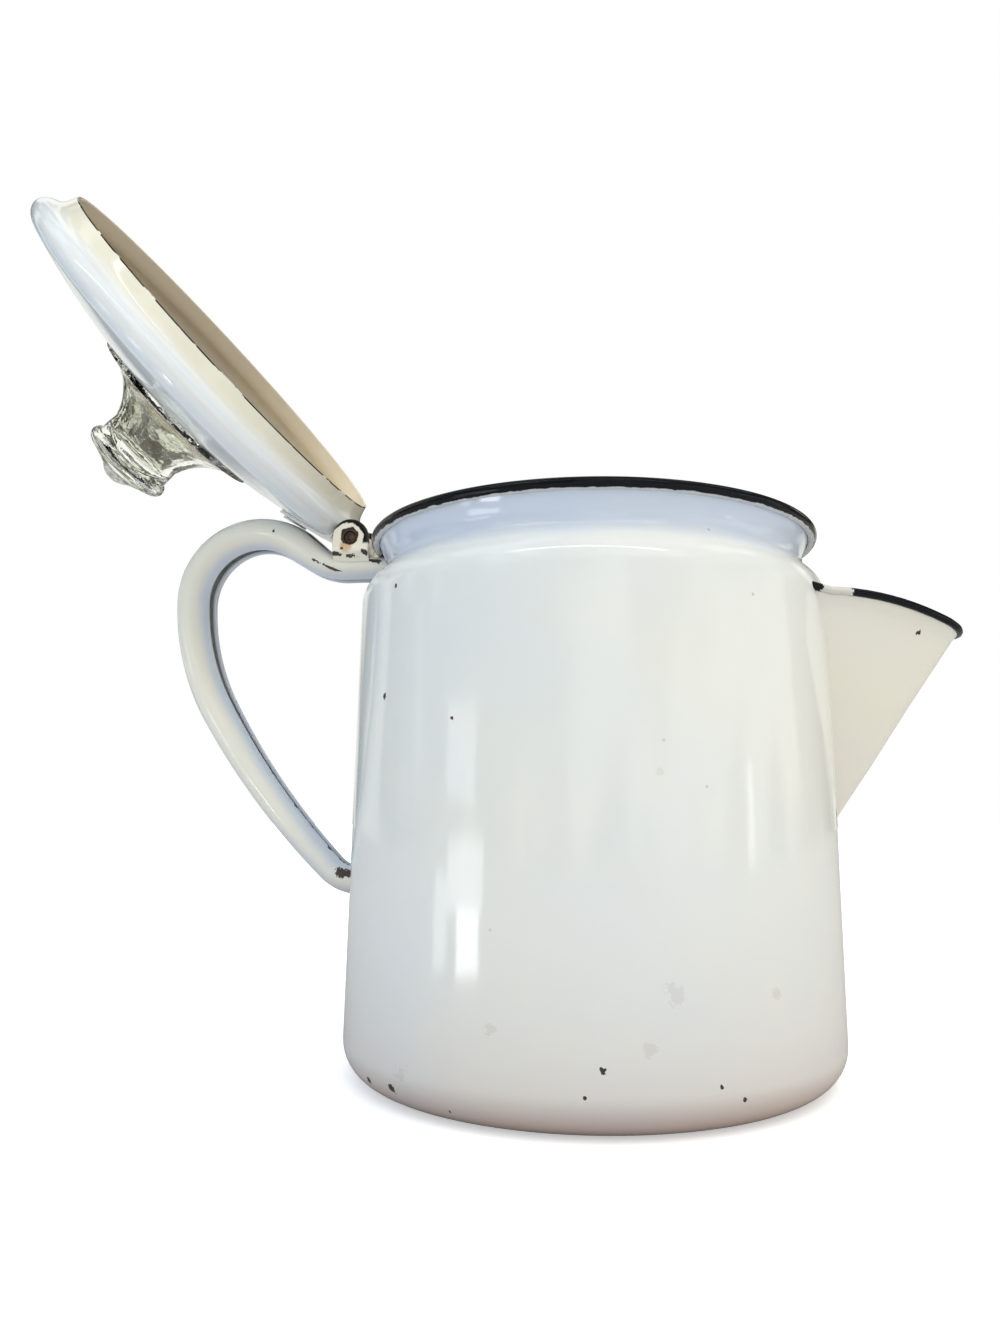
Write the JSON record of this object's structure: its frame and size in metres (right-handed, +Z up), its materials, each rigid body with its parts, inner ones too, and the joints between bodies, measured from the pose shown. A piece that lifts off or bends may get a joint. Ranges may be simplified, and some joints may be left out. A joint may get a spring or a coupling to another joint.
{
  "type": "coffee percolator",
  "caption": "Tapering white enamelled coffee percolator with a hinged domed lid standing open, a clear glass knob, a pouring spout, a strap handle and a lift-out brewing insert.",
  "frame": {"origin": "centre of the pot's flat base, on the surface that it stands on", "axes": "+Z up along the pot's axis, +X towards the spout, the handle at -X, +Y across the pot and along the lid's hinge pin"},
  "size_m": [0.3087, 0.16, 0.2956],
  "materials": {
    "enamelled_steel": "glossy white enamel over sheet steel, black on the rolled edges, chipped",
    "bare_steel": "rusty brown",
    "aluminium": "dull satin",
    "glass": "clear pressed glass with a slight green tint"
  },
  "bodies": {
    "pot": {"pot_body": "enamelled_steel", "spout": "enamelled_steel", "handle": "enamelled_steel", "hinge_bracket": "enamelled_steel", "hinge_pin": "bare_steel"},
    "lid": {"lid_shell": "enamelled_steel", "lid_hinge_leaf": "enamelled_steel", "leaf_rivets": "enamelled_steel"},
    "knob": {"glass_knob": "glass"},
    "pump": {"pump_base": "aluminium", "pump_tube": "aluminium", "basket_stop": "aluminium"},
    "basket": {"basket_cup": "aluminium", "basket_sleeve": "aluminium"},
    "spreader": {"basket_spreader": "aluminium", "spreader_collar": "aluminium"}
  },
  "joints": [
    {"name": "lid_hinge", "type": "hinge", "parent": "pot", "child": "lid", "pos_m": [-0.0818, 0, 0.17565], "axis": [0, 0.9993, 0.0384], "range_deg": [0, 130.5]},
    {"name": "knob_turn", "type": "hinge", "parent": "lid", "child": "knob", "pos_m": [-0.12843, -0.00293, 0.24334], "axis": [-0.7598, 0.0633, -0.647], "range_deg": [0, 60]},
    {"name": "pump_lift", "type": "slide", "parent": "pot", "child": "pump", "axis": [0, 0, 1], "range_m": [0, 0.012]},
    {"name": "basket_lift", "type": "slide", "parent": "pump", "child": "basket", "axis": [0, 0, 1], "range_m": [0, 0.008]},
    {"name": "spreader_lift", "type": "slide", "parent": "basket", "child": "spreader", "axis": [0, 0, 1], "range_m": [0, 0.006]}
  ]
}
